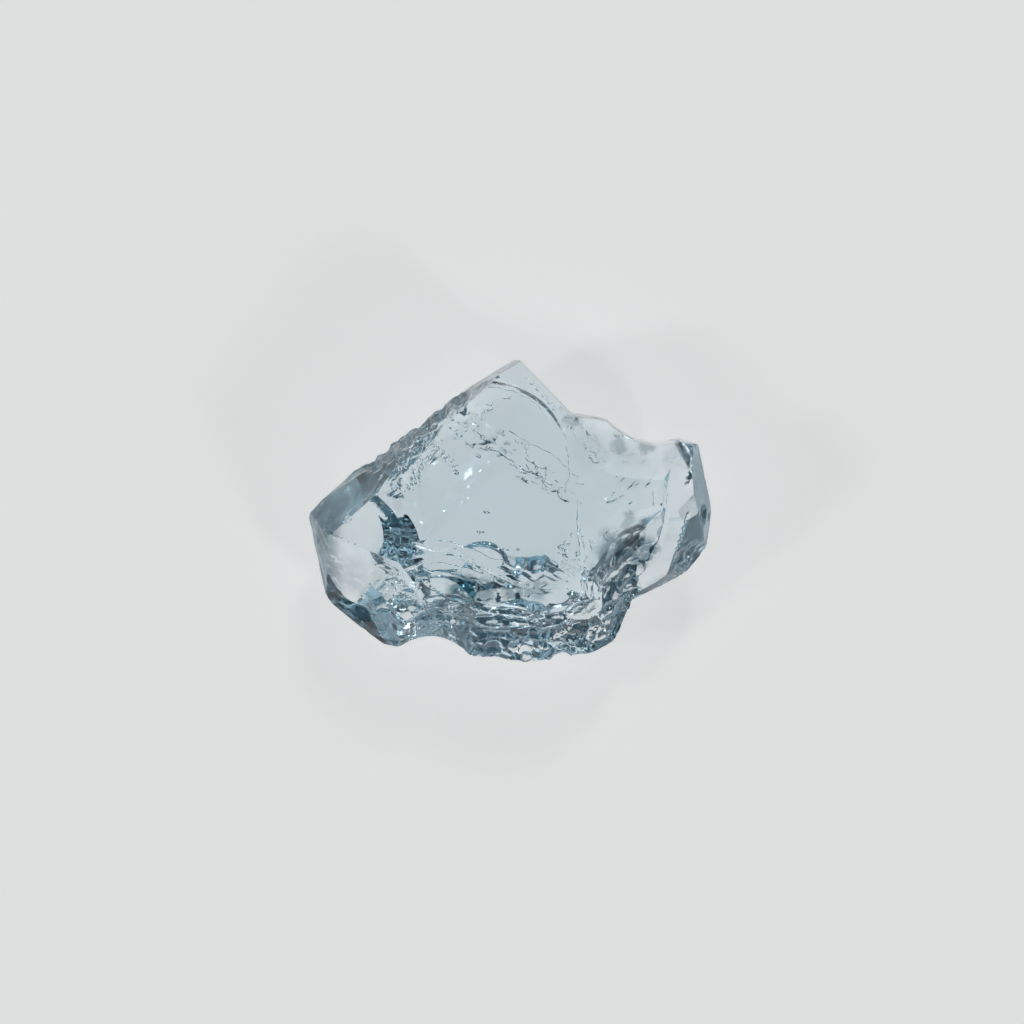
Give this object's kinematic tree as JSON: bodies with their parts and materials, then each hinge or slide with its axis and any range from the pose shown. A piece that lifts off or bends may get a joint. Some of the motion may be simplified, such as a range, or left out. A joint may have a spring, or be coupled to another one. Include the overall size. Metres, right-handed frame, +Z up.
{
  "type": "aquamarine crystal",
  "caption": "Clear pale-blue aquamarine crystal fragment with broken faces, a pointed peak, a thin wing, ledges and chipped edges, lying on its flat underside.",
  "frame": {"origin": "middle of the footprint's bounding box, on the resting face", "axes": "+X along the fragment's length towards the thin wing's end, +Y towards the pointed peak, +Z up, out of the broad flat on top"},
  "size_m": [0.02, 0.0152, 0.0077],
  "materials": {
    "aquamarine": "polished"
  },
  "bodies": {
    "root": {"aquamarine": "aquamarine"}
  },
  "joints": []
}
